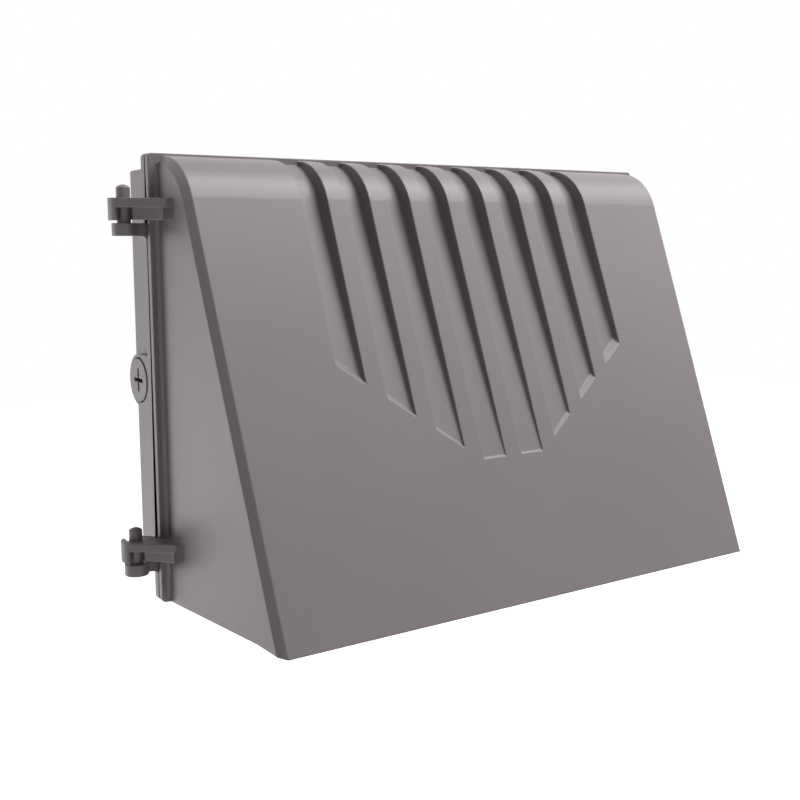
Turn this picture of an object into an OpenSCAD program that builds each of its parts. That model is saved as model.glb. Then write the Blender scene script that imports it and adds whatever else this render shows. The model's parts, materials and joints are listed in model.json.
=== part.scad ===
// Hinged wall pack light: a shallow rear housing that screws to a wall, and a wedge-shaped
// cast door that carries the downward lamp module and swings on two pins at its left side.
// The wall is the plane Y = 0, the front faces -Y and +Z is up. The origin is the middle of
// the back face. The places of what the door carries are given from the plane between the
// flanges and from the front bottom edge of the door, its lip.

/* [Flanges] */
// Width of both flanges
flange_w = 360; // [350:1:390]
// Height of both flanges
flange_h = 250; // [244:1:270]
// Corner radius of both flanges
flange_r = 2.5; // [2:0.5:6]
// Thickness of the rear flange
rear_flange_t = 6; // [4:0.5:8]
// Thickness of the door flange
door_flange_t = 4.5; // [3.5:0.5:6]
// Space between the two flanges
flange_gap = 0.9; // [0.4:0.1:1]

/* [Rear housing] */
// Depth from the wall to the plane between the flanges
rear_d = 35; // [34:0.5:45]
// Step from the top of the flange down to the box
box_top_step = 6.3; // [6:0.1:10]
// Step from the bottom of the flange up to the box
box_bottom_step = 11; // [8:0.5:11.5]
// Step from the side of the flange in to the box
box_side_step = 3.4; // [3:0.1:4]
// Corner radius of the box
box_r = 6; // [3:0.5:8]
// Draft of the box walls in degrees
box_draft = 2; // [0.5:0.5:3]
// Wall thickness of the box
rear_wall = 3; // [2.5:0.25:3.5]
// Depth of the recess in the back
back_recess = 3; // [2:0.5:4]

/* [Door] */
// Depth from the plane between the flanges to the front bottom edge
door_d = 127.6; // [124:0.2:140]
// Lean of the front face back from vertical, in degrees
front_tilt = 21.9; // [20:0.1:23]
// Radius of the rounded top
top_r = 36; // [30:1:38]
// Step from the top of the flange down to the rounded top
roof_step = 1.6; // [1:0.2:3]
// Rise of the lip above the bottom of the flange
lip_rise = 3.4; // [2:0.2:4]
// Step from the side of the flange in to the side wall
side_step = 4.9; // [4.5:0.1:6]
// Draft of the side walls in degrees
side_draft = 2.85; // [2:0.05:3.2]
// Chamfer along the edges of the front
edge_chamfer = 3.8; // [2:0.2:4.5]
// Wall thickness of the door
door_wall = 3; // [2.5:0.25:3.5]

/* [Grooves] */
// Number of grooves across the front
groove_n = 8; // [4:2:10]
// Distance from groove to groove
groove_pitch = 27.7; // [24:0.1:30]
// Width of a groove
groove_w = 16; // [10:0.2:17]
// Shift of the arc of the groove floors back from the arc of the rounded top
groove_back = 8.3; // [5:0.1:9]
// Drop of the arc of the groove floors below the arc of the rounded top
groove_drop = 1.5; // [0.5:0.1:2]
// Angle at which the groove floors run out into the front, in degrees
groove_taper = 2.7; // [2.5:0.1:3.5]
// Height above the lip at which the middle grooves end
groove_end_z = 77.5; // [70:0.5:90]
// Half width of the level part of the row of groove ends
groove_end_half = 23; // [20:1:28]
// Climb of the outer groove ends in degrees
groove_end_climb = 36.7; // [30:0.1:40]
// Slope of the ramp that ends each groove, in degrees from square to the front
groove_ramp = 50; // [30:1:60]

/* [Hinge] */
// Space between the knuckles and the side of the flange
knuckle_gap = 4.4; // [4:0.1:5]
// Distance of the hinge axis behind the plane between the flanges
hinge_back = 0; // [0:0.25:1]
// Radius of the hinge pins
pin_r = 3.7; // [3:0.1:4]
// Outer radius of the door knuckles
knuckle_r = 8.2; // [8:0.1:8.8]
// Step from the knuckles in to the rear lugs
lug_step = 1.6; // [0.2:0.1:2]
// Thickness of the arm plates
arm_t = 5.4; // [4:0.2:7]
// Drop of the skirt below the arm plate
skirt_drop = 6.6; // [5:0.2:8]
// Space between a skirt and its lug
lug_gap = 1.4; // [0.8:0.1:2.5]
// Height of a lug
lug_t = 6.8; // [5:0.2:9]
// Rise of a pin above its arm plate
pin_rise = 7; // [4:0.1:9]
// Distance from the top of the flange down to the top of the upper arm plate
upper_arm_drop = 23.8; // [20:0.2:30]
// Distance from the bottom of the flange up to the top of the lower arm plate
lower_arm_rise = 38.3; // [36:0.1:45]

/* [Conduit hubs] */
// Distance of the hub axis behind the middle of the housing's depth
hub_behind = 2; // [1:0.1:2]
// Space between a hub and the wall
hub_gap = 0.5; // [0.3:0.1:1]
// Wall of a hub around its threaded hole
hub_wall = 4.6; // [4:0.1:6]
// Wall of a hub around the seat of its plug head
plug_rim = 2.7; // [2:0.1:3.2]
// Length of the cross recess in the plug
cross_l = 13; // [10:0.5:15]
// Width of the cross recess in the plug
cross_w = 2.2; // [1:0.1:2.5]

/* [Lamp module] */
// Distance from the side of the flange in to the light window
window_side = 35; // [34:0.5:45]
// Distance from the plane between the flanges to the back edge of the light window
window_back = 22; // [22:0.5:26]
// Distance from the lip back to the front edge of the light window
window_front = 29.6; // [26:0.2:34]
// Thickness of the lens glass
glass_t = 4; // [3:0.5:5]
// Height of the reflector, from the shelf to the lamp board
reflector_h = 19.4; // [15:0.2:22]
// Number of lamp chips along the board
chip_cols = 18; // [10:1:18]
// Number of rows of lamp chips
chip_rows = 4; // [2:2:4]

/* [Driver] */
// Distance from the left end of the tray to the driver case
driver_bay = 79; // [76:1:90]
// Distance from the long edges of the tray in to the driver case
driver_in = 2; // [1:0.5:6]
// Height of the driver case
driver_h = 36; // [30:1:40]

/* [Wall mount] */
// Distance from the side of the flange in to the wall screw holes
wall_hole_side = 30; // [26:1:50]
// Distance from the top and the bottom of the flange in to the wall screw holes
wall_hole_end = 35; // [30:1:45]
// Radius of the wall screw holes
wall_hole_r = 3.25; // [2.5:0.25:3.5]
// Distance between the junction box slots across
box_slot_w = 88.9; // [82:0.1:92]
// Distance between the junction box slots up and down
box_slot_h = 83.3; // [80:0.1:92]
// Radius of the opening in the wire bushing
bushing_hole_r = 7; // [4:0.5:8]

/* [Hidden] */
$fn = 96;
over = 1;

// Planes and edges that the pieces share
gap_y = -rear_d;
rear_face_y = gap_y + flange_gap / 2;
door_back_y = gap_y - flange_gap / 2;
door_face_y = gap_y - door_flange_t;
lip_z = lip_rise - flange_h / 2;
lip_y = gap_y - door_d;
roof_z = flange_h / 2 - roof_step;
ac_z = roof_z - top_r;
ac_y = lip_y + (top_r * (1 - sin(front_tilt)) + (roof_z - lip_z) * sin(front_tilt)) / cos(front_tilt);
side_half = flange_w / 2 - side_step;
side_far = lip_y - door_wall;
floor_lean = front_tilt + groove_taper;
groove_c = [ac_y + groove_back, ac_z - groove_drop];
hinge_x = -flange_w / 2 - knuckle_r - knuckle_gap;
hinge_y = gap_y + hinge_back;
lug_r = knuckle_r - lug_step;
arm_tops = [flange_h / 2 - upper_arm_drop, lower_arm_rise - flange_h / 2];
arm_front = 22;
arm_end_w = 3.9;
arm_draft = 0.8;
hook_play = 0.8;
skirt_t = 3.2;
skirt_front = 220;
gusset_drop = 6.2;
gusset_front = 20.5;
gusset_end_w = 3.7;
gusset_in = 2.6;
gusset_deep = 6.5;
gusset_r = 44;
lug_fillet = 3;
wall_fillet_r = 2.5;

// The bottom edge of the side walls rises from the flange and levels out before the lip
edge_break_in = 23.6;
edge_front_in = 5.6;
edge_break_rise = 1.6;
edge_front_rise = 1.2;

// The shelf above the light window, and what hangs below and stands on it
shelf_rise = 14;
shelf_z = lip_z + shelf_rise;
shelf_t = 3.5;
shelf_top = shelf_z + shelf_t;
chamber_back_t = 6;
window_w = flange_w - 2 * window_side;
window_d = door_d - window_back - window_front;
win_y = gap_y - window_back - window_d / 2;
window_r = 4;
glass_lap = 6;
lens_gasket_t = 1.5;
frame_t = 3;
frame_r = 8;
frame_screw_in = 25;
frame_screw_x = window_w / 2 - frame_screw_in;
frame_screw_out = 5.5;
frame_edge = 3.7;
frame_rim_h = 1.2;
frame_rim_w = 3;
lens_screw_r = 2;
lens_screw_l = 10;
lens_head_r = 3.8;
lens_head_h = 2.4;
thread_play = 0.05;
boss_r = 4.6;
glass_w = window_w + 2 * glass_lap;
glass_d = window_d + 2 * glass_lap;
glass_z = shelf_z - lens_gasket_t - glass_t;
frame_z = glass_z - frame_t;
frame_half_x = glass_w / 2 + frame_screw_out + frame_edge;
frame_half_y = glass_d / 2 + frame_screw_out + frame_edge;

// Reflector, lamp board and the spreader plate that carries it
reflector_t = 1.2;
reflector_lap = 2.5;
reflector_in = 2;
reflector_flare_x = 15;
reflector_flare_y = 15;
reflector_top_w = window_w - 2 * reflector_in - 2 * reflector_flare_x;
reflector_top_d = window_d - 2 * reflector_in - 2 * reflector_flare_y;
board_z = shelf_top + reflector_h;
board_t = 1.6;
board_lap_x = 10;
board_lap_y = 7;
board_w = reflector_top_w + 2 * board_lap_x;
board_d = reflector_top_d + 2 * board_lap_y;
chip_l = 3;
chip_h = 0.7;
chip_margin = 2;
chip_pitch_x = (reflector_top_w - 2 * chip_margin) / chip_cols;
chip_pitch_y = reflector_top_d / chip_rows;
spreader_z = board_z + board_t;
spreader_t = 4;
spreader_top = spreader_z + spreader_t;
spreader_lap = 15;
spreader_w = window_w + 2 * spreader_lap;
spreader_back = 8.5;
spreader_front_in = 24.1;
spreader_d = door_d - spreader_front_in - spreader_back;
post_r = 4.5;
post_out = 8;
post_in = 3;
post_x = window_w / 2 + post_out;
post_y = window_d / 2 - post_in;
post_back = 13;
back_post_share = 0.4;
post_thread_l = 8;
thread_end = 1;
m4_r = 2;
m4_head_r = 3.8;
m4_head_h = 2.4;
m3_r = 1.5;
m3_head_r = 2.75;
m3_head_h = 1.8;
head_fn = 6;
drive_share = 0.55;
board_screws_n = 5;
board_screw_pitch = board_w / board_screws_n;
pad_inset = 2.6;

// Driver tray, driver and terminal block
sheet_t = 2;
tray_lift = 10;
tray_left_in = 32;
tray_right_in = 48;
tray_back_in = 9.5;
tray_front_in = 21.5;
tray_x0 = tray_left_in - spreader_w / 2;
tray_x1 = spreader_w / 2 - tray_right_in;
tray_y0 = gap_y - spreader_back - tray_back_in;
tray_d = spreader_d - tray_back_in - tray_front_in;
tray_mid = tray_y0 - tray_d / 2;
tray_foot = 16;
tray_screw_in = 10;
tray_z = spreader_top + tray_lift;
tray_top = tray_z + sheet_t;
driver_tab = 9;
driver_tab_t = 2;
tab_in = 2;
driver_x0 = tray_x0 + driver_bay;
driver_x1 = tray_x1 - driver_tab - tab_in;
driver_l = driver_x1 - driver_x0;
driver_w = tray_d - 2 * driver_in;
driver_x = (driver_x0 + driver_x1) / 2;
driver_y = tray_mid;
driver_edge = 3;
tab_share = 0.5;
block_in = 30;
block_x = tray_x0 + block_in;
block_y = driver_y;
block_w = 24;
block_d = 32;
block_h = 20;
block_poles = 3;
block_foot = 7;
block_foot_t = 4;
block_shelf = 10;
block_spine = 8;
block_rib = 1.6;
rib_share = 0.85;
pole_pitch = 10;
ground_out = 8;
ground_edge = 12;
ground_spot = [driver_x0 - driver_tab - ground_out, tray_y0 - ground_edge];

// Leads, each a tube of lead_r through its own points
lead_r = 1.1;
lead_sides = 8;
lead_steps = 3;
lead_play = 0.3;
lead_half = 1.8;
lead_turn = 5;
lead_exit_h = 12;
lead_exit_z = tray_top + lead_exit_h;
lead_side_ref = [0.3, 1, 0.2];
ground_lead_ref = [0.6, -0.7, 0.4];
grommet_out = 2;
grommet_x = window_w / 2 + grommet_out;
grommet_r = 6;
grommet_lip = 2;
grommet_lip_t = 1.2;
grommet_hole_r = 3.8;
lead_seat = grommet_lip_t + lead_r + lead_play;
clip_back = 11;
clip_x = grommet_x - clip_back;
clip_l = 5;
clip_arch = 4.4;
clip_foot = 13;
clip_foot_t = 1.5;
clip_play = 0.2;
eye_r = 3.4;
eye_t = 0.8;
barrel_r = 1.5;
barrel_l = 4;

// Captive door screws on the right and their ears
ear_r = 8.5;
ear_x = flange_w / 2 + ear_r;
ear_in = 41;
ear_z = flange_h / 2 - ear_in;
ear_h = 14;
ear_front_t = 5;
screw_washer_t = 1;
screw_hex_r = 4.4;
rear_ear_t = 12;
door_screw_r = 2.5;
door_screw_play = 0.25;
neck_r = 1.8;
neck_play = 0.2;
thread_l = 8;
thread_start = 0.6;
thread_room_r = 3.2;
screw_head_r = 5;
screw_head_h = 4.6;
slot_w = 1.4;
slot_deep = 1.8;

// Rear housing details
gasket_w = 2.8;
gasket_deep = 1.8;
gasket_in = 3.9;
gasket_top_in = 5.5;
gasket_r = 5;
room_top = flange_h / 2 - gasket_top_in - 2 * gasket_w;
rim_w = 6;
rib_w = 3;
wall_hole_w = flange_w - 2 * wall_hole_side;
wall_hole_h = flange_h - 2 * wall_hole_end;
wall_pad_r = 9;
slot_r = 2.6;
slot_l = 10;
slot_land = 4.55;
back_pad_r = (box_slot_w + slot_l) / 2 + slot_land;
entry_r = 11;
bushing_lip = 2.6;
bushing_lip_t = 1.6;
hub_y = rear_d / 2 - hub_behind;
hub_r = hub_y - hub_gap;
hub_hole_r = hub_r - hub_wall;
plug_head_r = hub_r - plug_rim;
hub_l = 14;
plug_proud = 0.5;
plug_head_t = 2.5;
plug_play = 0.5;
plug_l = 11;
cross_deep = 5;
plug_thread_play = 0.1;
seal_t = 1;
ground_in = 20;
ground_x = ground_in - wall_hole_w / 2;
ground_z = ground_in - wall_hole_h / 2;
ground_boss_r = 6;
ground_boss_h = 6;
pin_fit = 0.02;
pin_play = 0.06;
flange_clear = 0.3;

// Half width of the outside of the side walls at a depth
function side_at(y) = side_half - (door_face_y - y) * tan(side_draft);

// The front face at a height
function front_at(z) = lip_y + (z - lip_z) * tan(front_tilt);

// Extrudes an outline drawn in Y and Z across the middle of the part
module across(w) {
    translate([-w / 2, 0, 0]) rotate([90, 0, 90]) linear_extrude(w) children();
}

// Extrudes an outline drawn in X and Z from the plane y towards the front
module forward(y, l) {
    translate([0, y, 0]) rotate([90, 0, 0]) linear_extrude(l) children();
}

// Extrudes an outline drawn in X and Y upwards from the plane z
module upward(z, l) {
    translate([0, 0, z]) linear_extrude(l) children();
}

module round_rect(w, h, r) {
    square([w - 2 * r, h], center = true);
    square([w, h - 2 * r], center = true);
    for (x = [-1, 1], z = [-1, 1])
        translate([x * (w / 2 - r), z * (h / 2 - r)]) circle(r);
}

// Side outline of the wedge: a leaning front that runs into an arc about c at the top
module wedge_outline(c, r, lean, back, low) {
    touch = c + r * [-cos(lean), sin(lean)];
    foot = [touch[0] - (touch[1] - low) * tan(lean), low];
    roof = c[0] < back ? [[c[0], c[1] + r], [back, c[1] + r]] : [[back, c[1]]];
    polygon(concat([[back, low], foot, touch], roof));
    intersection() {
        translate(c) circle(r);
        translate([back - 2 * flange_h, c[1]]) square([2 * flange_h, 2 * r]);
    }
}

// Plan of the drafted side walls, set in by a wall or a chamfer
module draft_plan(inset, back) {
    polygon([
        [-(side_at(back) - inset), back], [side_at(back) - inset, back],
        [side_at(side_far) - inset, side_far], [-(side_at(side_far) - inset), side_far]
    ]);
}

module wedge_slab(r, inset) {
    intersection() {
        across(flange_w) wedge_outline([ac_y, ac_z], r, front_tilt, door_face_y, -flange_h / 2, $fn = 48);
        upward(-flange_h, 2 * flange_h) draft_plan(inset, door_face_y);
    }
}

// Screw with its head below, standing on z = 0 with the shank upwards
module head_down_screw(r, l, head_r, head_h) {
    cylinder(r = r, h = l);
    difference() {
        translate([0, 0, -head_h]) cylinder(r = head_r, h = head_h);
        translate([0, 0, -head_h - over])
            cylinder(r = head_r * drive_share, h = over + head_h * drive_share, $fn = head_fn);
    }
}

// Screw with its head on top, seated on z = 0 with the shank downwards
module head_up_screw(r, l, head_r, head_h) {
    mirror([0, 0, 1]) head_down_screw(r, l, head_r, head_h);
}

// Rear housing

module box_blank(inset, back, front) {
    half = flange_w / 2 - box_side_step - inset;
    top = flange_h / 2 - box_top_step - inset;
    low = -flange_h / 2 + box_bottom_step + inset;
    lean = rear_d * tan(box_draft);
    intersection() {
        forward(back, back - front) translate([0, (top + low) / 2])
            round_rect(2 * half, top - low, box_r - inset / 2);
        upward(-flange_h, 2 * flange_h)
            polygon([[-half, gap_y], [half, gap_y], [half - lean, 0], [lean - half, 0]]);
        across(flange_w)
            polygon([[gap_y, low], [gap_y, top], [0, top - lean], [0, low + lean]]);
    }
}

module slot(l, r) {
    square([l - 2 * r, 2 * r], center = true);
    for (s = [-1, 1])
        translate([s * (l / 2 - r), 0]) circle(r);
}

module wall_holes() {
    for (x = [-1, 1], z = [-1, 1])
        translate([x * wall_hole_w / 2, z * wall_hole_h / 2]) circle(wall_hole_r);
    for (s = [-1, 1]) {
        translate([s * box_slot_w / 2, 0]) slot(slot_l, slot_r);
        translate([0, s * box_slot_h / 2]) rotate(90) slot(slot_l, slot_r);
    }
}

// What stands up to the wall inside the recess of the back
module back_lands() {
    circle(back_pad_r);
    for (x = [-1, 1], z = [-1, 1])
        translate([x * wall_hole_w / 2, z * wall_hole_h / 2]) circle(wall_pad_r);
    for (z = [-1, 0, 1])
        translate([0, z * wall_hole_h / 2]) square([flange_w, rib_w], center = true);
    for (x = [-1, 0, 1])
        translate([x * wall_hole_w / 2, 0]) square([rib_w, flange_h], center = true);
}

// Round lug with a web to the side of the flange and a hollow fillet under the web
module lug(top_z) {
    low = top_z - arm_t - skirt_drop - lug_gap - lug_t;
    back = hinge_y + lug_r;
    upward(low, lug_t) {
        translate([hinge_x, hinge_y]) circle(lug_r);
        polygon([
            [hinge_x, back], [hinge_x, hinge_y], [-flange_w / 2 - flange_clear, hinge_y],
            [-flange_w / 2, rear_face_y], [-side_half, rear_face_y], [-side_half, back]
        ]);
    }
    forward(back, back - rear_face_y) translate([-flange_w / 2 - lug_fillet, low - lug_fillet])
        difference() {
            square(lug_fillet + over);
            circle(lug_fillet);
        }
}

module ear_outline() {
    translate([ear_x, 0]) circle(ear_r);
    translate([side_half - door_wall / 2, -ear_r]) square([ear_x - side_half + door_wall / 2, 2 * ear_r]);
}

// Round hub that widens into a block towards the flange
module hub(side) {
    block = rear_d - rear_flange_t / 2 - hub_y;
    translate([side * flange_w / 2, -hub_y, 0]) rotate([0, -side * 90, 0]) cylinder(r = hub_r, h = hub_l);
    translate([side * (flange_w - hub_l) / 2, -hub_y - block / 2, 0])
        cube([hub_l, block, 2 * hub_r], center = true);
}

module gasket_ring(w, h, r, width) {
    difference() {
        round_rect(w, h, r);
        round_rect(w - 2 * width, h - 2 * width, r - width);
    }
}

module door_gasket_ring() {
    gasket_ring(flange_w - 2 * gasket_in + gasket_w, flange_h - 2 * gasket_top_in + gasket_w,
        gasket_r, gasket_w);
}

module rear_housing() {
    floor_y = -back_recess - rear_wall;
    color([0.36, 0.34, 0.33]) difference() {
        union() {
            difference() {
                union() {
                    box_blank(0, 0, rear_face_y);
                    forward(gap_y + rear_flange_t, rear_flange_t - flange_gap / 2)
                        round_rect(flange_w, flange_h, flange_r);
                }
                intersection() {
                    box_blank(rear_wall, floor_y, gap_y - over);
                    forward(floor_y, rear_d) square([flange_w, flange_h], center = true);
                }
            }
            for (s = [-1, 1]) hub(s);
            for (x = [-1, 1], z = [-1, 1])
                translate([x * wall_hole_w / 2, floor_y + over, z * wall_hole_h / 2])
                    rotate([90, 0, 0]) cylinder(r = wall_pad_r, h = over + rear_wall);
            translate([ground_x, floor_y + over, ground_z]) rotate([90, 0, 0])
                cylinder(r = ground_boss_r, h = over + ground_boss_h);
            for (z = arm_tops) lug(z);
            for (s = [-1, 1]) translate([0, 0, s * ear_z])
                forward(rear_face_y + rear_ear_t, rear_ear_t) ear_outline();
        }
        // Recess in the back, around its lands
        forward(over, over + back_recess) difference() {
            translate([0, (box_bottom_step - box_top_step) / 2]) round_rect(
                flange_w - 2 * box_side_step - 2 * rim_w,
                flange_h - box_bottom_step - box_top_step - 2 * rim_w, box_r);
            back_lands();
            for (s = [-1, 1]) translate([s * (flange_w / 2 - hub_l), 0])
                square([2 * hub_l, 2 * hub_r], center = true);
        }
        forward(over, rear_d) wall_holes();
        forward(over, rear_d) circle(entry_r);
        forward(over, over + bushing_lip_t) circle(entry_r + bushing_lip);
        for (s = [-1, 1]) translate([s * (flange_w / 2 + over), -hub_y, 0]) rotate([0, -s * 90, 0]) {
            cylinder(r = hub_hole_r, h = hub_l + 2 * over);
            cylinder(r = plug_head_r + plug_play, h = over + plug_head_t - plug_proud + seal_t);
        }
        forward(rear_face_y + gasket_deep, gasket_deep + over) door_gasket_ring();
        translate([hinge_x, hinge_y, -flange_h]) cylinder(r = pin_r + pin_fit, h = 2 * flange_h);
        for (s = [-1, 1]) translate([ear_x, 0, s * ear_z]) rotate([90, 0, 0])
            cylinder(r = door_screw_r + door_screw_play, h = 2 * rear_d);
        translate([ground_x, floor_y - ground_boss_h - over, ground_z]) rotate([-90, 0, 0])
            cylinder(r = m4_r + thread_play, h = over + ground_boss_h);
    }
}

// Each pin has a domed top and stands in its lug
module hinge_pins() {
    dome_share = 0.45;
    color([0.34, 0.32, 0.31]) for (z = arm_tops) {
        low = z - arm_t - skirt_drop - lug_gap - lug_t;
        dome = pin_r * dome_share;
        ball_r = (pin_r * pin_r + dome * dome) / (2 * dome);
        pin_l = z + pin_rise - low;
        translate([hinge_x, hinge_y, low]) intersection() {
            cylinder(r = pin_r, h = pin_l);
            union() {
                cylinder(r = 2 * pin_r, h = pin_l - 2 * dome);
                translate([0, 0, pin_l - ball_r]) sphere(ball_r);
            }
        }
    }
}

module conduit_plugs() {
    color([0.52, 0.5, 0.49]) for (s = [-1, 1])
        translate([s * (flange_w / 2 + plug_proud), -hub_y, 0]) rotate([0, -s * 90, 0]) difference() {
            union() {
                cylinder(r = plug_head_r, h = plug_head_t);
                cylinder(r = hub_hole_r - plug_thread_play, h = plug_l);
            }
            cube([cross_w, cross_l, 2 * cross_deep], center = true);
            cube([cross_l, cross_w, 2 * cross_deep], center = true);
        }
}

module plug_seals() {
    color([0.08, 0.08, 0.08]) for (s = [-1, 1])
        translate([s * (flange_w / 2 + plug_proud - plug_head_t), -hub_y, 0]) rotate([0, -s * 90, 0])
            difference() {
                cylinder(r = plug_head_r, h = seal_t);
                translate([0, 0, -over]) cylinder(r = hub_hole_r, h = seal_t + 2 * over);
            }
}

// Rubber bushing with a lip on each side of the back wall
module wire_bushing() {
    color([0.07, 0.07, 0.07]) translate([0, -back_recess - rear_wall, 0]) rotate([-90, 0, 0]) difference() {
        union() {
            translate([0, 0, -bushing_lip_t]) cylinder(r = entry_r + bushing_lip, h = bushing_lip_t);
            cylinder(r = entry_r - thread_play, h = back_recess + rear_wall - bushing_lip_t / 2);
            translate([0, 0, back_recess + rear_wall - bushing_lip_t])
                cylinder(r = entry_r + bushing_lip - flange_clear, h = bushing_lip_t - flange_clear);
        }
        translate([0, 0, -rear_d / 2]) cylinder(r = bushing_hole_r, h = rear_d);
    }
}

module door_gasket() {
    color([0.1, 0.1, 0.1]) forward(rear_face_y + gasket_deep, gasket_deep + flange_gap - flange_clear)
        door_gasket_ring();
}

module supply_ground_screw() {
    color([0.15, 0.45, 0.2]) translate([ground_x, -back_recess - rear_wall - ground_boss_h, ground_z])
        rotate([90, 0, 0]) head_up_screw(m4_r, ground_boss_h - over, m4_head_r, m4_head_h);
}

// Door

// The point where a line from p touches the circle about c on one side
function touch_point(p, c, r, side) =
    let (d = c - p, turn = atan2(d[1], d[0]) + side * asin(r / norm(d)))
    p + sqrt(norm(d) * norm(d) - r * r) * [cos(turn), sin(turn)];

// Plan of an arm: round the pin, then straight to its square end beside the side wall
module arm_plan() {
    pin = [hinge_x, hinge_y];
    wall_x = -side_half + door_wall / 2;
    corner = [-side_at(gap_y - arm_front) - arm_end_w, gap_y - arm_front];
    flange_edge = [-flange_w / 2 - flange_clear, door_back_y];
    translate(pin) circle(knuckle_r);
    polygon([
        touch_point(corner, pin, knuckle_r, 1), corner, [wall_x, corner[1]], [wall_x, door_back_y],
        flange_edge, touch_point(flange_edge, pin, knuckle_r, -1), pin
    ]);
}

// Side of the arm plates, which get thinner towards the front by their draft
module arm_side(top_z) {
    back = hinge_y + knuckle_r;
    front = gap_y - arm_front;
    dip = (back - front) * tan(arm_draft);
    polygon([[back, top_z], [back, top_z - arm_t], [front, top_z - arm_t + dip], [front, top_z - dip]]);
}

// Half-round skirt that hangs from the outer side of the arm plate
module skirt_plan() {
    translate([hinge_x, hinge_y]) difference() {
        circle(knuckle_r);
        circle(knuckle_r - skirt_t);
        polygon([
            [0, 0], 2 * knuckle_r * [cos(skirt_front), sin(skirt_front)],
            2 * knuckle_r * [1, -1], 2 * knuckle_r * [1, 1], [0, 2 * knuckle_r]
        ]);
    }
}

// Rib under the arm plate with a hollow front from its square end to the pin
module gusset_plan() {
    wall_x = -side_half + door_wall / 2;
    front = gap_y - gusset_front;
    corner = [-side_at(front) - gusset_end_w, front];
    tip = [hinge_x + gusset_in, hinge_y - gusset_deep];
    half = norm(corner - tip) / 2;
    out = unit([corner[1] - tip[1], tip[0] - corner[0]]);
    difference() {
        polygon([
            corner, [wall_x, front], [wall_x, door_back_y], [hinge_x + gusset_in, door_back_y], tip
        ]);
        translate((corner + tip) / 2 + out * sqrt(gusset_r * gusset_r - half * half)) circle(gusset_r);
    }
}

// The open back of the hooks, through which the door comes off its pins
module hook_slot() {
    half = pin_r + hook_play;
    upward(-flange_h, 2 * flange_h) translate([hinge_x - half, hinge_y]) square([2 * half, knuckle_r + over]);
}

// Hollow fillet between the front of the flange and each side wall
module wall_fillets() {
    x = side_at(door_face_y - wall_fillet_r) + wall_fillet_r;
    low = flange_r - flange_h / 2;
    for (s = [0, 1]) mirror([s, 0, 0]) upward(low, roof_z - edge_chamfer - low) difference() {
        translate([-x, door_face_y - wall_fillet_r])
            square([wall_fillet_r + door_wall / 2, wall_fillet_r + door_flange_t / 2]);
        translate([-x, door_face_y - wall_fillet_r]) circle(wall_fillet_r);
    }
}

module arm(top_z) {
    intersection() {
        across(2 * flange_w) arm_side(top_z);
        upward(top_z - arm_t - over, arm_t + 2 * over) arm_plan();
    }
    upward(top_z - arm_t - skirt_drop, skirt_drop + arm_t / 2) skirt_plan();
    upward(top_z - arm_t - gusset_drop, gusset_drop + arm_t / 2) gusset_plan();
}

module groove_cutter() {
    high = 2 * flange_h;
    for (i = [0:groove_n - 1])
        translate([(i - (groove_n - 1) / 2) * groove_pitch, 0, 0]) across(groove_w) difference() {
            translate([side_far, lip_z]) square([door_face_y - side_far, high]);
            wedge_outline(groove_c, top_r, floor_lean, gap_y, lip_z - flange_h);
        }
}

// What stays below a row of groove ends that climbs from the point x on the front
module groove_stop(x, climb) {
    long = 2 * flange_w;
    translate([x, front_at(lip_z + groove_end_z), lip_z + groove_end_z])
        rotate([-front_tilt, 0, 0]) rotate([0, -climb, 0]) rotate([groove_ramp, 0, 0])
            translate([-long / 2, -long / 2, -long]) cube(long);
}

module grooves() {
    difference() {
        groove_cutter();
        groove_stop(0, 0);
        groove_stop(groove_end_half, groove_end_climb);
        groove_stop(-groove_end_half, -groove_end_climb);
    }
}

// Trims the underside to the bottom edge of the side walls
module underside_cut() {
    across(2 * flange_w) polygon([
        [door_face_y, -flange_h], [door_face_y, -flange_h / 2],
        [lip_y + edge_break_in, lip_z + edge_break_rise],
        [lip_y + edge_front_in, lip_z + edge_front_rise],
        [lip_y, lip_z], [side_far, lip_z], [side_far, -flange_h]
    ]);
}

// Inside of the door above the shelf, one wall behind the front and the groove floors
module driver_room() {
    intersection() {
        across(flange_w) intersection() {
            wedge_outline([ac_y, ac_z], top_r - door_wall, front_tilt, 0, shelf_top);
            wedge_outline(groove_c, top_r - door_wall, floor_lean, 0, shelf_top);
            translate([side_far, shelf_top]) square([-side_far, room_top - shelf_top]);
        }
        upward(-flange_h, 2 * flange_h) draft_plan(door_wall, 0);
    }
}

module lamp_room() {
    back = door_back_y - chamber_back_t;
    intersection() {
        across(flange_w) intersection() {
            wedge_outline([ac_y, ac_z], top_r - door_wall, front_tilt, back, -flange_h);
            translate([side_far, -flange_h]) square([back - side_far, flange_h + shelf_z]);
        }
        upward(-flange_h, flange_h) draft_plan(door_wall, back);
    }
}

module window_plan(grow, r) {
    translate([0, win_y]) round_rect(window_w + 2 * grow, window_d + 2 * grow, r);
}

// Places of the lens frame screws, and of the posts that carry the spreader
function frame_spots() = concat(
    [for (x = [-1, 0, 1], y = [-1, 1])
        [x * frame_screw_x, win_y + y * (glass_d / 2 + frame_screw_out)]],
    [for (x = [-1, 1]) [x * (glass_w / 2 + frame_screw_out), win_y]]
);
function post_spots() = concat(
    [for (x = [-1, 1], y = [-1, 1]) [x * post_x, win_y + y * post_y]],
    [for (x = [-1, 1]) [x * post_x * back_post_share, gap_y - post_back]]
);

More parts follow.
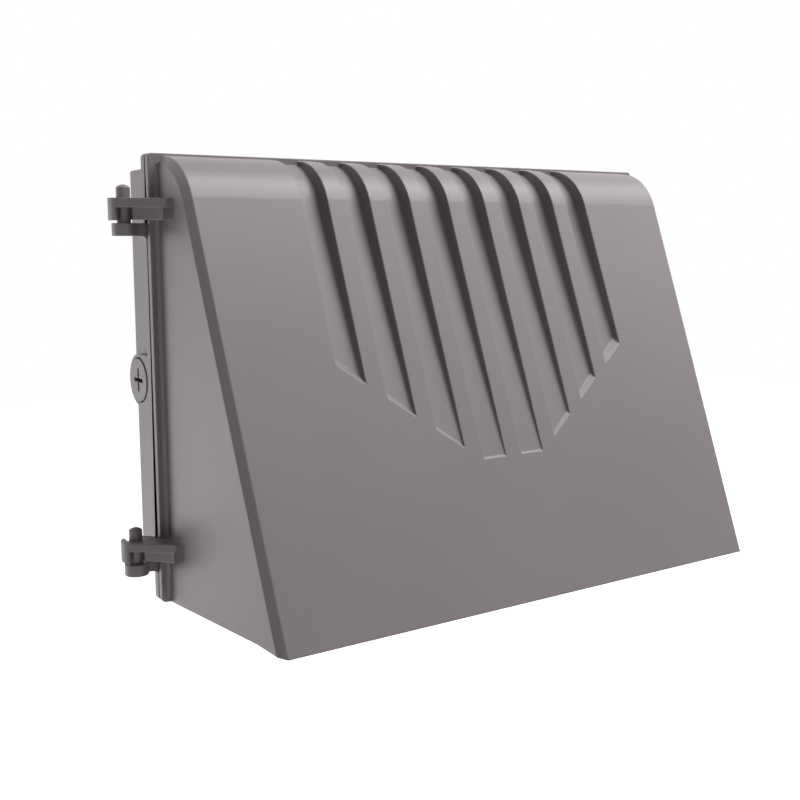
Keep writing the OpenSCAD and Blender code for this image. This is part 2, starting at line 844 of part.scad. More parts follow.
module door() {
    color([0.55, 0.51, 0.5]) difference() {
        union() {
            difference() {
                union() {
                    hull() {
                        wedge_slab(top_r, edge_chamfer);
                        wedge_slab(top_r - edge_chamfer, 0);
                    }
                    forward(door_back_y, door_back_y - door_face_y)
                        round_rect(flange_w, flange_h, flange_r);
                    wall_fillets();
                }
                grooves();
                underside_cut();
                driver_room();
                lamp_room();
                upward(shelf_z - over, shelf_t + 2 * over) window_plan(0, window_r);
            }
            for (z = arm_tops) arm(z);
            for (s = [-1, 1]) translate([0, 0, s * ear_z])
                forward(door_back_y, ear_h - flange_gap / 2) ear_outline();
            for (p = frame_spots())
                translate([p[0], p[1], glass_z]) cylinder(r = boss_r, h = shelf_z - glass_z + over);
            for (p = post_spots())
                translate([p[0], p[1], shelf_top - over])
                    cylinder(r = post_r, h = spreader_z - shelf_top + over);
        }
        translate([hinge_x, hinge_y, -flange_h]) cylinder(r = pin_r + pin_play, h = 2 * flange_h);
        hook_slot();
        for (s = [-1, 1]) translate([ear_x, 0, s * ear_z]) rotate([90, 0, 0]) {
            cylinder(r = neck_r + neck_play, h = 2 * rear_d);
            cylinder(r = thread_room_r, h = rear_d + ear_h - ear_front_t);
        }
        for (p = frame_spots()) translate([p[0], p[1], glass_z - over])
            cylinder(r = lens_screw_r + thread_play, h = over + lens_screw_l - frame_t + thread_end);
        for (p = post_spots()) translate([p[0], p[1], spreader_z - post_thread_l - thread_end])
            cylinder(r = m4_r + thread_play, h = post_thread_l + thread_end + over);
    }
}

// Lens

module lens_gasket() {
    color([0.85, 0.85, 0.83]) upward(glass_z + glass_t, lens_gasket_t) difference() {
        window_plan(glass_lap, glass_lap);
        window_plan(0, window_r);
    }
}

module lens_glass() {
    color([0.75, 0.85, 0.85, 0.35]) upward(glass_z, glass_t) window_plan(glass_lap, glass_lap);
}

module lens_frame() {
    color([0.5, 0.47, 0.46]) difference() {
        union() {
            upward(frame_z, frame_t) translate([0, win_y])
                round_rect(2 * frame_half_x, 2 * frame_half_y, frame_r);
            upward(frame_z - frame_rim_h, frame_rim_h + over) window_plan(frame_rim_w, frame_r);
        }
        upward(frame_z - frame_rim_h - over, frame_t + frame_rim_h + 2 * over)
            window_plan(-reflector_in, window_r);
        for (p = frame_spots()) translate([p[0], p[1], frame_z - over])
            cylinder(r = lens_screw_r + thread_play, h = frame_t + 2 * over);
    }
}

module lens_frame_screws() {
    color([0.6, 0.6, 0.6]) for (p = frame_spots()) translate([p[0], p[1], frame_z])
        head_down_screw(lens_screw_r, lens_screw_l, lens_head_r, lens_head_h);
}

// Lamp module

// Block with a rectangular foot that tapers by the flare to its top
module taper_block(w, d, low, high, flare_x, flare_y) {
    slice = reflector_t / 100;
    hull() {
        upward(low, slice) translate([0, win_y]) square([w, d], center = true);
        upward(high - slice, slice) translate([0, win_y])
            square([w - 2 * flare_x, d - 2 * flare_y], center = true);
    }
}

module reflector() {
    mouth_w = window_w - 2 * reflector_in;
    mouth_d = window_d - 2 * reflector_in;
    color([0.93, 0.93, 0.92]) difference() {
        union() {
            upward(shelf_top, reflector_t) window_plan(reflector_lap, window_r);
            taper_block(mouth_w + 2 * reflector_t, mouth_d + 2 * reflector_t, shelf_top, board_z,
                reflector_flare_x, reflector_flare_y);
        }
        taper_block(mouth_w, mouth_d, shelf_top - over, board_z + over, reflector_flare_x,
            reflector_flare_y);
    }
}

module board_spots() {
    for (i = [0:board_screws_n - 1])
        translate([(i - (board_screws_n - 1) / 2) * board_screw_pitch, win_y]) children();
}

module lamp_board() {
    color([0.92, 0.93, 0.92]) difference() {
        upward(board_z, board_t) translate([0, win_y]) square([board_w, board_d], center = true);
        board_spots() translate([0, 0, board_z - over])
            cylinder(r = m3_r + thread_play, h = board_t + 2 * over);
    }
}

module lamp_chips() {
    color([0.95, 0.82, 0.35]) for (i = [0:chip_cols - 1], j = [0:chip_rows - 1])
        translate([
            (i - (chip_cols - 1) / 2) * chip_pitch_x, win_y + (j - (chip_rows - 1) / 2) * chip_pitch_y,
            board_z - chip_h / 2
        ]) cube([chip_l, chip_l, chip_h], center = true);
}

module board_screws() {
    color([0.7, 0.7, 0.7]) board_spots() translate([0, 0, board_z])
        head_down_screw(m3_r, board_t + spreader_t - over, m3_head_r, m3_head_h);
}

module tray_spots() {
    for (x = [tray_x0 - tray_foot / 2, tray_x1 + tray_foot / 2], y = [-1, 1])
        translate([x, tray_mid + y * (tray_d / 2 - tray_screw_in)]) children();
}

module heat_spreader() {
    color([0.78, 0.79, 0.8]) difference() {
        upward(spreader_z, spreader_t) translate([-spreader_w / 2, gap_y - spreader_back - spreader_d])
            square([spreader_w, spreader_d]);
        for (p = post_spots()) translate([p[0], p[1], spreader_z - over])
            cylinder(r = m4_r + thread_play, h = spreader_t + 2 * over);
        board_spots() translate([0, 0, spreader_z - over])
            cylinder(r = m3_r + thread_play, h = spreader_t + over / 2);
        upward(spreader_z + over, spreader_t) tray_spots() circle(m4_r + thread_play);
        translate([grommet_x, win_y, spreader_z - over])
            cylinder(r = grommet_r, h = spreader_t + 2 * over);
    }
}

module spreader_screws() {
    color([0.62, 0.62, 0.62]) for (p = post_spots()) translate([p[0], p[1], spreader_top])
        head_up_screw(m4_r, post_thread_l + spreader_t, m4_head_r, m4_head_h);
}

module lead_grommet() {
    color([0.06, 0.06, 0.06]) translate([grommet_x, win_y, spreader_z]) difference() {
        union() {
            cylinder(r = grommet_r, h = spreader_t);
            for (z = [-grommet_lip_t, spreader_t]) translate([0, 0, z])
                cylinder(r = grommet_r + grommet_lip, h = grommet_lip_t);
        }
        translate([0, 0, -spreader_t]) cylinder(r = grommet_hole_r, h = 3 * spreader_t);
    }
}

// Nylon saddle that holds both lamp leads down
module lead_clip() {
    color([0.9, 0.9, 0.88]) translate([clip_x - clip_l / 2, win_y, spreader_top]) difference() {
        union() {
            rotate([90, 0, 90]) linear_extrude(clip_l) {
                translate([0, clip_arch]) circle(clip_arch);
                translate([-clip_arch, 0]) square([2 * clip_arch, clip_arch]);
            }
            translate([0, -clip_foot / 2, 0]) cube([clip_l, clip_foot, clip_foot_t]);
        }
        translate([-over, 0, lead_seat]) rotate([90, 0, 90]) linear_extrude(clip_l + 2 * over) {
            for (s = [-1, 1]) translate([s * lead_half, 0]) circle(lead_r + clip_play);
            square([2 * lead_half, 2 * (lead_r + clip_play)], center = true);
        }
    }
}

// Driver

// Folded sheet tray that stands on two feet
module driver_tray() {
    color([0.72, 0.73, 0.74]) difference() {
        forward(tray_y0, tray_d) {
            translate([tray_x0, tray_z]) square([tray_x1 - tray_x0, sheet_t]);
            translate([tray_x0, spreader_top]) square([sheet_t, tray_lift + sheet_t]);
            translate([tray_x1 - sheet_t, spreader_top]) square([sheet_t, tray_lift + sheet_t]);
            translate([tray_x0 - tray_foot, spreader_top]) square([tray_foot + sheet_t, sheet_t]);
            translate([tray_x1 - sheet_t, spreader_top]) square([tray_foot + sheet_t, sheet_t]);
        }
        upward(spreader_top - over, sheet_t + 2 * over) tray_spots() circle(m4_r + thread_play);
        upward(tray_z - over, sheet_t + 2 * over) {
            for (p = concat(driver_spots(), block_spots(), [ground_spot])) translate(p)
                circle(m3_r + thread_play);
        }
    }
}

module tray_screws() {
    color([0.62, 0.62, 0.62]) translate([0, 0, spreader_top + sheet_t]) tray_spots()
        head_up_screw(m4_r, sheet_t + spreader_t - over - thread_play, m4_head_r, m4_head_h);
}

function driver_spots() = [for (s = [-1, 1])
    [driver_x + s * (driver_l + driver_tab) / 2, driver_y]];
function block_spots() = [for (s = [-1, 1])
    [block_x, block_y + s * (block_d + block_foot) / 2]];

module driver() {
    color([0.88, 0.89, 0.9]) difference() {
        union() {
            translate([driver_x, driver_y, tray_top]) across(driver_l) polygon([
                [-driver_w / 2, 0], [driver_w / 2, 0],
                [driver_w / 2, driver_h - driver_edge], [driver_w / 2 - driver_edge, driver_h],
                [driver_edge - driver_w / 2, driver_h], [-driver_w / 2, driver_h - driver_edge]
            ]);
            upward(tray_top, driver_tab_t) translate([driver_x, driver_y])
                square([driver_l + 2 * driver_tab, driver_w * tab_share], center = true);
        }
        for (p = driver_spots()) translate([p[0], p[1], tray_top - over])
            cylinder(r = m3_r + thread_play, h = driver_tab_t + 2 * over);
    }
}

module driver_screws() {
    color([0.7, 0.7, 0.7]) for (p = driver_spots())
        translate([p[0], p[1], tray_top + driver_tab_t])
            head_up_screw(m3_r, driver_tab_t + sheet_t + thread_end, m3_head_r, m3_head_h);
}

// Barrier strip: a shelf on each side of a spine, with a wall between the poles
module terminal_block() {
    color([0.12, 0.12, 0.13]) difference() {
        translate([block_x, block_y, tray_top]) {
            translate([-block_w / 2, -block_d / 2, 0]) cube([block_w, block_d, block_shelf]);
            translate([-block_spine / 2, -block_d / 2, 0]) cube([block_spine, block_d, block_h]);
            for (i = [0:block_poles]) translate([
                -block_w / 2, (i - block_poles / 2) * pole_pitch - block_rib / 2, 0
            ]) cube([block_w, block_rib, block_h * rib_share]);
            translate([-block_spine / 2, -block_d / 2 - block_foot, 0])
                cube([block_spine, block_d + 2 * block_foot, block_foot_t]);
        }
        for (p = block_spots()) translate([p[0], p[1], tray_top - over])
            cylinder(r = m3_r + thread_play, h = block_foot_t + 2 * over);
        for (p = pole_spots()) translate([p[0], p[1], tray_top + over])
            cylinder(r = m3_r + thread_play, h = block_shelf);
    }
}

function pole_y(i) = block_y + (i - (block_poles - 1) / 2) * pole_pitch;
function pole_spots() = [for (s = [-1, 1], i = [0:block_poles - 1])
    [block_x + s * (block_w + block_spine) / 4, pole_y(i)]];

module terminal_screws() {
    color([0.78, 0.68, 0.4]) for (p = pole_spots())
        translate([p[0], p[1], tray_top + block_shelf + 2 * lead_r + lead_play])
            head_up_screw(m3_r, block_shelf + lead_r, m3_head_r, m3_head_h);
}

module block_screws() {
    color([0.7, 0.7, 0.7]) for (p = block_spots())
        translate([p[0], p[1], tray_top + block_foot_t])
            head_up_screw(m3_r, block_foot_t + sheet_t + thread_end, m3_head_r, m3_head_h);
}

module door_ground_screw() {
    color([0.15, 0.45, 0.2]) translate([ground_spot[0], ground_spot[1], tray_top + eye_t])
        head_up_screw(m3_r, eye_t + sheet_t + thread_end, m3_head_r, m3_head_h);
}

// Leads

// A point at the share t between b and c on a smooth curve through a, b, c and d
function curve_point(a, b, c, d, t) = (2 * b + (c - a) * t + (2 * a - 5 * b + 4 * c - d) * t * t
    + (3 * b - a - 3 * c + d) * t * t * t) / 2;
function smooth(p) = concat([for (i = [0:len(p) - 2], k = [0:lead_steps - 1])
    curve_point(p[max(i - 1, 0)], p[i], p[i + 1], p[min(i + 2, len(p) - 1)], k / lead_steps)],
    [p[len(p) - 1]]);
function unit(v) = v / norm(v);

// A round lead along the smooth curve through its points
module lead(points, ref) {
    path = smooth(points);
    n = len(path);
    rings = [for (i = [0:n - 1])
        let (
            t = unit(path[min(i + 1, n - 1)] - path[max(i - 1, 0)]),
            u = unit(cross(t, ref)),
            v = cross(t, u)
        )
        for (k = [0:lead_sides - 1])
            path[i] + lead_r * (cos(k * 360 / lead_sides) * u + sin(k * 360 / lead_sides) * v)];
    sides = [for (i = [0:n - 2], k = [0:lead_sides - 1])
        let (m = (k + 1) % lead_sides, a = i * lead_sides)
        each [[a + m, a + k, a + lead_sides + k], [a + m, a + lead_sides + k, a + lead_sides + m]]];
    ends = [
        [for (k = [0:lead_sides - 1]) k],
        [for (k = [0:lead_sides - 1]) n * lead_sides - 1 - k]
    ];
    polyhedron(rings, concat(sides, ends));
}

// From the driver along the spreader, down through the grommet and back under the board
module lamp_lead(side) {
    y = win_y + side * lead_half;
    start_x = driver_x1 + lead_play;
    foot_x = tray_x1 + tray_foot;
    run_z = spreader_top + lead_seat;
    turn_z = spreader_z - lead_turn;
    lead([
        [start_x, y, lead_exit_z], [start_x + lead_turn, y, lead_exit_z],
        [(start_x + foot_x) / 2 + lead_turn, y, (lead_exit_z + run_z) / 2 + lead_turn],
        [foot_x + lead_r, y, run_z + lead_r], [clip_x, y, run_z],
        [grommet_x - lead_turn, y, run_z], [grommet_x - lead_r / 2, y, spreader_top],
        [grommet_x, y, spreader_z], [grommet_x - lead_r, y, turn_z + lead_r],
        [grommet_x - lead_turn - lead_r, y, turn_z],
        [board_w / 2 - pad_inset, y, board_z - lead_r - lead_play]
    ], lead_side_ref);
}

module lamp_lead_positive() {
    color([0.75, 0.1, 0.08]) lamp_lead(1);
}

module lamp_lead_negative() {
    color([0.06, 0.06, 0.06]) lamp_lead(-1);
}

// From the driver to a pole of the terminal block
module driver_lead(pole) {
    y = pole_y(pole);
    start_x = driver_x0 - lead_play;
    end_x = block_x + (block_w + block_spine) / 4 + m3_r + lead_play;
    z = tray_top + block_shelf + lead_r + lead_play / 2;
    lead([
        [start_x, y, lead_exit_z], [start_x - lead_turn, y, lead_exit_z],
        [(start_x + end_x) / 2, y, (lead_exit_z + z) / 2 + lead_turn / 2],
        [end_x + 2 * lead_turn, y, z + lead_r / 2], [end_x + lead_turn, y, z], [end_x, y, z]
    ], lead_side_ref);
}

module driver_lead_line() {
    color([0.06, 0.06, 0.06]) driver_lead(0);
}

module driver_lead_neutral() {
    color([0.9, 0.9, 0.88]) driver_lead(1);
}

// From the last pole of the block to an eye under the green screw
module ground_lead() {
    y = pole_y(block_poles - 1);
    end_x = block_x + (block_w + block_spine) / 4 + m3_r + lead_play;
    z = tray_top + block_shelf + lead_r + lead_play / 2;
    eye_z = tray_top + barrel_r + thread_play;
    barrel_x = ground_spot[0] - m3_head_r - barrel_l;
    color([0.1, 0.45, 0.2]) {
        lead([
            [end_x, y, z], [end_x + lead_turn / 2, y, z],
            [end_x + lead_turn, (3 * y + ground_spot[1]) / 4, (2 * z + eye_z) / 3],
            [barrel_x - lead_turn / 2, ground_spot[1] - lead_r / 2, eye_z + lead_r / 2],
            [barrel_x, ground_spot[1], eye_z], [barrel_x + barrel_l / 2, ground_spot[1], eye_z]
        ], ground_lead_ref);
        difference() {
            union() {
                translate([barrel_x, ground_spot[1], eye_z]) rotate([0, 90, 0])
                    cylinder(r = barrel_r, h = barrel_l);
                translate([ground_spot[0], ground_spot[1], tray_top]) cylinder(r = eye_r, h = eye_t);
            }
            translate([ground_spot[0], ground_spot[1], tray_top - over])
                cylinder(r = m3_r + thread_play, h = eye_t + 2 * over);
        }
    }
}

// Captive screws: a reduced neck lets the thread draw back into the ear

module door_screw(z) {
    color([0.62, 0.61, 0.6]) translate([ear_x, gap_y - ear_h, z]) rotate([-90, 0, 0]) difference() {
        union() {
            cylinder(r = neck_r, h = ear_h + thread_start + over);
            translate([0, 0, ear_h + thread_start]) cylinder(r = door_screw_r, h = thread_l);
            translate([0, 0, -screw_washer_t]) cylinder(r = screw_head_r, h = screw_washer_t);
            translate([0, 0, -screw_head_h])
                cylinder(r = screw_hex_r, h = screw_head_h - screw_washer_t, $fn = head_fn);
        }
        translate([0, 0, -screw_head_h])
            cube([slot_w, 3 * screw_hex_r, 2 * slot_deep], center = true);
    }
}

module door_screw_upper() {
    door_screw(ear_z);
}

module door_screw_lower() {
    door_screw(-ear_z);
}

rear_housing();
hinge_pins();
conduit_plugs();
plug_seals();
wire_bushing();
door_gasket();
supply_ground_screw();
door();
lens_gasket();
lens_glass();
lens_frame();
lens_frame_screws();
reflector();
lamp_board();
lamp_chips();
board_screws();
heat_spreader();
spreader_screws();
lead_grommet();
lead_clip();
driver_tray();
tray_screws();
driver();
driver_screws();
terminal_block();
terminal_screws();
block_screws();
lamp_lead_positive();
lamp_lead_negative();
driver_lead_line();
driver_lead_neutral();
ground_lead();
door_ground_screw();
door_screw_upper();
door_screw_lower();
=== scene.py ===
"""Wall pack light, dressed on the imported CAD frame. Metres, part frame."""
import json
import math

import bmesh
import bpy
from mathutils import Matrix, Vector


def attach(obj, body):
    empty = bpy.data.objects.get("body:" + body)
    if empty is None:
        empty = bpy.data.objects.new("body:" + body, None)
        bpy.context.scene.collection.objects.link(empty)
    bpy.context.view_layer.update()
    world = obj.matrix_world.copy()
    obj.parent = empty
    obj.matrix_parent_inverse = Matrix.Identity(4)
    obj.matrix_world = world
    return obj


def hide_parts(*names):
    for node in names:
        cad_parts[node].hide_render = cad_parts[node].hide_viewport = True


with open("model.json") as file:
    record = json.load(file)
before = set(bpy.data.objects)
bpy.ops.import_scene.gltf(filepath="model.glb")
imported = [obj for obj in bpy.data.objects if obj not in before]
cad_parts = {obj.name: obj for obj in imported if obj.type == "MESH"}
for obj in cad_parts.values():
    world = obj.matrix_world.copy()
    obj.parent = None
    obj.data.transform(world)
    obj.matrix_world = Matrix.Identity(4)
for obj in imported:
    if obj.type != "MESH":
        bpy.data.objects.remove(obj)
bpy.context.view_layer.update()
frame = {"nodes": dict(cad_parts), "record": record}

NODES = frame["nodes"]
BODY_OF = {n: b for b, ns in frame["record"]["behaviour"]["bodies"].items() for n in ns}
SLOT_OF = {s["node"]: s["material_slot"] for s in frame["record"]["subparts"]}
MM = 0.001
WHITE = (1, 1, 1, 1)


def new_object(name, data):
    """A new object in the scene."""
    obj = bpy.data.objects.new(name, data)
    bpy.context.scene.collection.objects.link(obj)
    return obj


# Materials

# Values of a noise between which a colour and a roughness change
COLOUR_SPAN = (0.35, 0.65)
ROUGH_SPAN = (0.3, 0.7)

# Warm grey of the castings, and how much lighter the plugs are
TONE = (0.270, 0.237, 0.239)
PLUG_TINT = 1.05

# Powder coat: roughness and its spread, broad changes of tone, orange peel, and softened edges
PAINT_ROUGH = 0.42
PAINT_SPREAD = 0.03
TONE_SCALE = 9
TONE_SPREAD = 0.03
PEEL_SCALE = 650
PEEL_BUMP = 0.12
PEEL_DEPTH = 0.12 * MM
PAINT_DETAIL = 2
SOFT_EDGE = 0.9 * MM
SOFT_SAMPLES = 6

# Other finishes: grain of the noise, spread of the roughness, and bump
FINISH_SCALE = 120
FINISH_DETAIL = 4
FINISH_SPREAD = 0.05
FINISH_BUMP = 0.1
FINISH_DEPTH = 0.2 * MM

# Lens glass
GLASS_IOR = 1.5
GLASS_DARK = (0.93, 0.96, 0.95)
GLASS_LIGHT = (0.97, 0.99, 0.98)
GLASS_ROUGH = (0.02, 0.06)
GLASS_SCALE = 30
GLASS_DETAIL = 2

FINISHES = {
    "black_rubber": dict(dark=(0.012, 0.012, 0.012), light=(0.02, 0.02, 0.02), rough=0.62),
    "white_silicone": dict(dark=(0.62, 0.62, 0.60), light=(0.7, 0.7, 0.68), rough=0.5),
    "green_screw": dict(dark=(0.015, 0.14, 0.04), light=(0.03, 0.2, 0.06), rough=0.35),
    "zinc_steel": dict(dark=(0.42, 0.42, 0.41), light=(0.6, 0.6, 0.59), rough=0.3, metallic=1.0, scale=260),
    "white_reflector": dict(dark=(0.8, 0.8, 0.79), light=(0.86, 0.86, 0.85), rough=0.28, coat=0.2),
    "white_board": dict(dark=(0.72, 0.74, 0.72), light=(0.8, 0.82, 0.8), rough=0.35, coat=0.3),
    "yellow_chip": dict(dark=(0.72, 0.47, 0.06), light=(0.85, 0.6, 0.12), rough=0.3, scale=700),
    "bare_aluminium": dict(dark=(0.55, 0.56, 0.57), light=(0.72, 0.73, 0.74), rough=0.34, metallic=1.0,
                           scale=90, stretch=(0.3, 9, 9)),
    "zinc_sheet": dict(dark=(0.42, 0.43, 0.44), light=(0.62, 0.63, 0.64), rough=0.33, metallic=1.0, scale=60),
    "driver_case": dict(dark=(0.6, 0.61, 0.62), light=(0.75, 0.76, 0.77), rough=0.38, metallic=1.0,
                        stretch=(0.3, 6, 6)),
    "black_plastic": dict(dark=(0.012, 0.012, 0.013), light=(0.022, 0.022, 0.024), rough=0.45),
    "white_nylon": dict(dark=(0.7, 0.7, 0.68), light=(0.78, 0.78, 0.76), rough=0.4),
    "brass_screw": dict(dark=(0.55, 0.4, 0.14), light=(0.75, 0.58, 0.25), rough=0.3, metallic=1.0, scale=300),
    "red_lead": dict(dark=(0.42, 0.01, 0.01), light=(0.55, 0.02, 0.02), rough=0.35),
    "black_lead": dict(dark=(0.012, 0.012, 0.012), light=(0.025, 0.025, 0.025), rough=0.35),
    "white_lead": dict(dark=(0.68, 0.68, 0.66), light=(0.78, 0.78, 0.76), rough=0.35),
    "green_lead": dict(dark=(0.015, 0.17, 0.05), light=(0.03, 0.26, 0.08), rough=0.35),
}


def new_material(name):
    """A material, its node tree and its shader."""
    m = bpy.data.materials.new(name)
    m.use_nodes = True
    return m, m.node_tree, m.node_tree.nodes["Principled BSDF"]


def noise(tree, scale, detail, stretch=(1, 1, 1)):
    """A noise in the object's own coordinates."""
    coord = tree.nodes.new("ShaderNodeTexCoord")
    mapping = tree.nodes.new("ShaderNodeMapping")
    mapping.inputs["Scale"].default_value = stretch
    tex = tree.nodes.new("ShaderNodeTexNoise")
    tex.inputs["Scale"].default_value = scale
    tex.inputs["Detail"].default_value = detail
    tree.links.new(coord.outputs["Object"], mapping.inputs["Vector"])
    tree.links.new(mapping.outputs["Vector"], tex.inputs["Vector"])
    return tex


def colour_from(tree, bsdf, tex, dark, light):
    """Lets the base colour run from dark to light with a noise."""
    ramp = tree.nodes.new("ShaderNodeValToRGB")
    for element, position, colour in zip(ramp.color_ramp.elements, COLOUR_SPAN, (dark, light)):
        element.position = position
        element.color = (*colour, 1)
    tree.links.new(tex.outputs["Fac"], ramp.inputs["Fac"])
    tree.links.new(ramp.outputs["Color"], bsdf.inputs["Base Color"])


def rough_from(tree, bsdf, tex, low, high):
    """Lets the roughness run from low to high with a noise."""
    span = tree.nodes.new("ShaderNodeMapRange")
    for socket, value in zip(("From Min", "From Max", "To Min", "To Max"), (*ROUGH_SPAN, low, high)):
        span.inputs[socket].default_value = value
    tree.links.new(tex.outputs["Fac"], span.inputs["Value"])
    tree.links.new(span.outputs["Result"], bsdf.inputs["Roughness"])


def bump_from(tree, bsdf, tex, strength, distance):
    bump = tree.nodes.new("ShaderNodeBump")
    bump.inputs["Strength"].default_value = strength
    bump.inputs["Distance"].default_value = distance
    tree.links.new(tex.outputs["Fac"], bump.inputs["Height"])
    tree.links.new(bump.outputs["Normal"], bsdf.inputs["Normal"])
    return bump


def plain_finish(name, dark, light, rough, metallic=0.0, scale=FINISH_SCALE, stretch=(1, 1, 1), coat=0.0):
    """A material whose colour, roughness and surface vary a little with a noise."""
    m, tree, bsdf = new_material(name)
    bsdf.inputs["Metallic"].default_value = metallic
    bsdf.inputs["Coat Weight"].default_value = coat
    grain = noise(tree, scale, FINISH_DETAIL, stretch)
    colour_from(tree, bsdf, grain, dark, light)
    rough_from(tree, bsdf, grain, rough - FINISH_SPREAD, rough + FINISH_SPREAD)
    bump_from(tree, bsdf, grain, FINISH_BUMP, FINISH_DEPTH)
    return m


def powder_coat(name, tone):
    """Satin powder coat: fine orange peel, and broad, barely visible changes of tone."""
    m, tree, bsdf = new_material(name)
    broad = noise(tree, TONE_SCALE, PAINT_DETAIL)
    dark, light = ([c * share for c in tone] for share in (1 - TONE_SPREAD, 1 + TONE_SPREAD))
    colour_from(tree, bsdf, broad, dark, light)
    peel = noise(tree, PEEL_SCALE, PAINT_DETAIL)
    rough_from(tree, bsdf, peel, PAINT_ROUGH - PAINT_SPREAD, PAINT_ROUGH + PAINT_SPREAD)
    bump = bump_from(tree, bsdf, peel, PEEL_BUMP, PEEL_DEPTH)
    soft = tree.nodes.new("ShaderNodeBevel")
    soft.samples = SOFT_SAMPLES
    soft.inputs["Radius"].default_value = SOFT_EDGE
    tree.links.new(soft.outputs["Normal"], bump.inputs["Normal"])
    return m


def clear_glass(name):
    """Slightly uneven, nearly colourless glass."""
    m, tree, bsdf = new_material(name)
    bsdf.inputs["Transmission Weight"].default_value = 1.0
    bsdf.inputs["IOR"].default_value = GLASS_IOR
    haze = noise(tree, GLASS_SCALE, GLASS_DETAIL)
    colour_from(tree, bsdf, haze, GLASS_DARK, GLASS_LIGHT)
    rough_from(tree, bsdf, haze, *GLASS_ROUGH)
    return m


MATS = {name: plain_finish(name, **finish) for name, finish in FINISHES.items()}
MATS["housing_paint"] = powder_coat("housing_paint", TONE)
MATS["plug_paint"] = powder_coat("plug_paint", [c * PLUG_TINT for c in TONE])
MATS["clear_glass"] = clear_glass("clear_glass")

for node, obj in NODES.items():
    obj.data.materials.clear()
    obj.data.materials.append(MATS[SLOT_OF[node]])


# Castings with broken edges

# Vertices closer than WELD are joined, and faces within FLAT_ANGLE of each other become one
WELD = 0.002 * MM
FLAT_ANGLE = math.radians(0.3)

# Edges sharper than SHARP_ANGLE are rounded
SHARP_ANGLE = math.radians(28)
EDGE_BREAK = 0.4 * MM
EDGE_STEPS = 2
ROUND_PROFILE = 0.5

# Boxes in |x|, y and z whose edges stay sharp: the top ends of the fillets between the door's flange
# and side walls, and the sides of the hub lands in the back, which are close beside a rib
KEPT_SHARP = [((0.1746, -0.0423, 0.1192), (0.1777, -0.0394, 0.1197)),
              ((0.15195, -0.0032, -0.016), (0.15205, 0.0002, 0.016))]


def stays_sharp(edge):
    ends = [(abs(v.co.x), v.co.y, v.co.z) for v in edge.verts]
    return any(all(low[i] < end[i] < high[i] for end in ends for i in range(3)) for low, high in KEPT_SHARP)


def is_corner(edge):
    return len(edge.link_faces) == 2 and edge.calc_face_angle(0) > SHARP_ANGLE and not stays_sharp(edge)


def casting(node, name):
    """The node's shape as a mesh of its own, with its flat faces joined and its edges rounded."""
    bm = bmesh.new()
    bm.from_mesh(NODES[node].data)
    bmesh.ops.remove_doubles(bm, verts=bm.verts, dist=WELD)
    bmesh.ops.dissolve_limit(bm, angle_limit=FLAT_ANGLE, verts=bm.verts, edges=bm.edges)
    bmesh.ops.bevel(bm, geom=[e for e in bm.edges if is_corner(e)], offset=EDGE_BREAK, offset_type="OFFSET",
                    segments=EDGE_STEPS, profile=ROUND_PROFILE, affect="EDGES")
    mesh = bpy.data.meshes.new(name)
    bm.to_mesh(mesh)
    bm.free()
    mesh.shade_smooth()
    mesh.materials.append(MATS[SLOT_OF[node]])
    obj = new_object(name, mesh)
    weight = obj.modifiers.new("normals", "WEIGHTED_NORMAL")
    weight.keep_sharp = True
    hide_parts(node)
    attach(obj, BODY_OF[node])


casting("door", "door_casting")
casting("rear_housing", "housing_casting")


# Stage, light and camera

# Round lamps, all at one distance from the point that they aim at: name, direction and power
AIM = Vector((0, -0.09, 0))
LAMP_DISTANCE = 2.0
LAMP_SIZE = 1.4
LAMPS = [
    ("key_light", (0.35, -0.3, 0.88), 36.5),
    ("right_light", (0.8, -0.15, 0.58), 11),
    ("left_low_light", (-0.7, 0.65, -0.3), 9),
    ("left_light", (-0.7, 0.7, 0.12), 3.5),
    ("left_high_light", (-0.75, 0.5, 0.43), 3.2),
]

# Strength of the world where it lights the object, and where it is seen
FILL = 0.03
SEEN = 1.0

# White paper below the object
FLOOR_Z = -0.62
FLOOR_HALF = 4
PAPER_ROUGH = 0.9
PAPER_DARK = (0.9, 0.9, 0.9)
PAPER_LIGHT = (0.92, 0.92, 0.92)
PAPER_SCALE = 3
PAPER_DETAIL = 2

# The photograph's camera: place, downward tilt and turn in radians, lens and sensor in millimetres
CAMERA_PLACE = (-0.40264, -0.61264, 0.08307)
CAMERA_TILT = 0.1514
CAMERA_TURN = -0.5914
CAMERA_LENS = 49.54
SENSOR_W = 36
NEAR_CLIP = 0.01


def area_light(name, direction, power):
    """A round lamp in a direction from the object, facing it."""
    data = bpy.data.lights.new(name, "AREA")
    data.shape = "DISK"
    data.size = LAMP_SIZE
    data.energy = power
    away = Vector(direction).normalized()
    obj = new_object(name, data)
    obj.location = AIM + away * LAMP_DISTANCE
    obj.rotation_euler = away.to_track_quat("Z", "Y").to_euler()


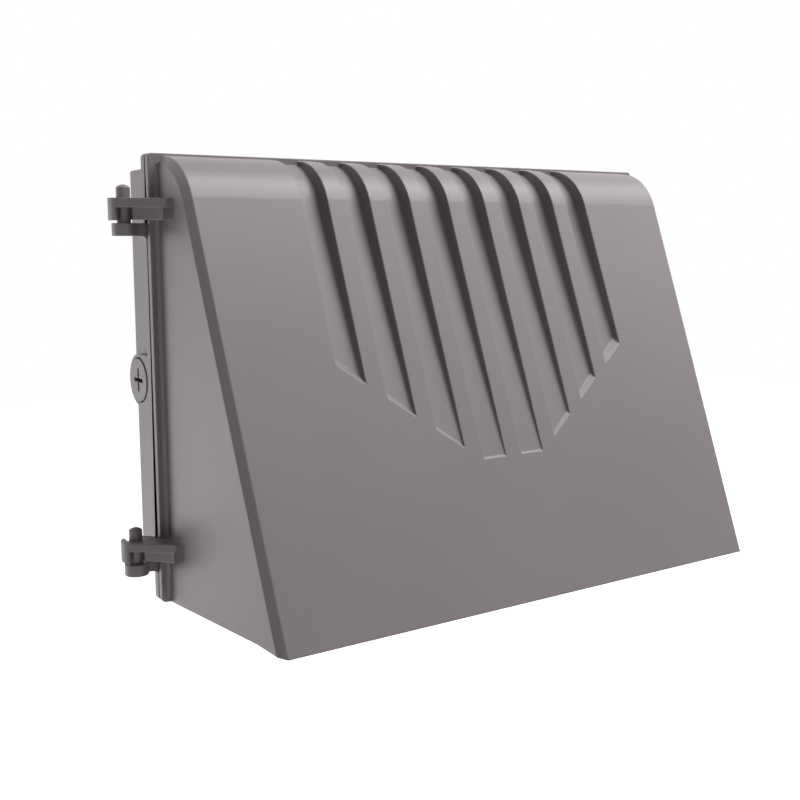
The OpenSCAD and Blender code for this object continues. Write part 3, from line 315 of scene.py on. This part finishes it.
def seen_directly(tree):
    """1 for rays that show the background: from the camera, mirrored by metal or through glass."""
    path = tree.nodes.new("ShaderNodeLightPath")
    total = path.outputs["Is Camera Ray"]
    for ray in ("Is Glossy Ray", "Is Transmission Ray"):
        either = tree.nodes.new("ShaderNodeMath")
        either.operation = "MAXIMUM"
        tree.links.new(total, either.inputs[0])
        tree.links.new(path.outputs[ray], either.inputs[1])
        total = either.outputs["Value"]
    return total


def studio_world():
    """A faint fill, and white where the background is seen."""
    world = bpy.data.worlds.new("studio")
    bpy.context.scene.world = world
    world.use_nodes = True
    nodes, links = world.node_tree.nodes, world.node_tree.links
    fill = nodes["Background"]
    paper = nodes.new("ShaderNodeBackground")
    for shader, strength in ((fill, FILL), (paper, SEEN)):
        shader.inputs["Color"].default_value = WHITE
        shader.inputs["Strength"].default_value = strength
    mix = nodes.new("ShaderNodeMixShader")
    links.new(seen_directly(world.node_tree), mix.inputs["Fac"])
    links.new(fill.outputs["Background"], mix.inputs[1])
    links.new(paper.outputs["Background"], mix.inputs[2])
    links.new(mix.outputs["Shader"], nodes["World Output"].inputs["Surface"])


def paper_floor():
    """A sheet far below the object, white where it is seen."""
    corners = [(-1, -1), (1, -1), (1, 1), (-1, 1)]
    mesh = bpy.data.meshes.new("floor")
    mesh.from_pydata([(x * FLOOR_HALF, y * FLOOR_HALF, FLOOR_Z) for x, y in corners], [],
                     [range(len(corners))])
    floor = new_object("floor", mesh)
    material, tree, bsdf = new_material("floor_paper")
    bsdf.inputs["Roughness"].default_value = PAPER_ROUGH
    colour_from(tree, bsdf, noise(tree, PAPER_SCALE, PAPER_DETAIL), PAPER_DARK, PAPER_LIGHT)
    bsdf.inputs["Emission Color"].default_value = WHITE
    tree.links.new(seen_directly(tree), bsdf.inputs["Emission Strength"])
    mesh.materials.append(material)


def photo_camera():
    camera = bpy.data.cameras.new("camera")
    camera.lens = CAMERA_LENS
    camera.sensor_width = SENSOR_W
    camera.clip_start = NEAR_CLIP
    view = new_object("camera", camera)
    view.location = CAMERA_PLACE
    view.rotation_euler = (math.pi / 2 - CAMERA_TILT, 0, CAMERA_TURN)
    bpy.context.scene.camera = view


for lamp in LAMPS:
    area_light(*lamp)
studio_world()
paper_floor()
photo_camera()
bpy.context.scene.view_settings.view_transform = "Standard"

bpy.context.view_layer.update()
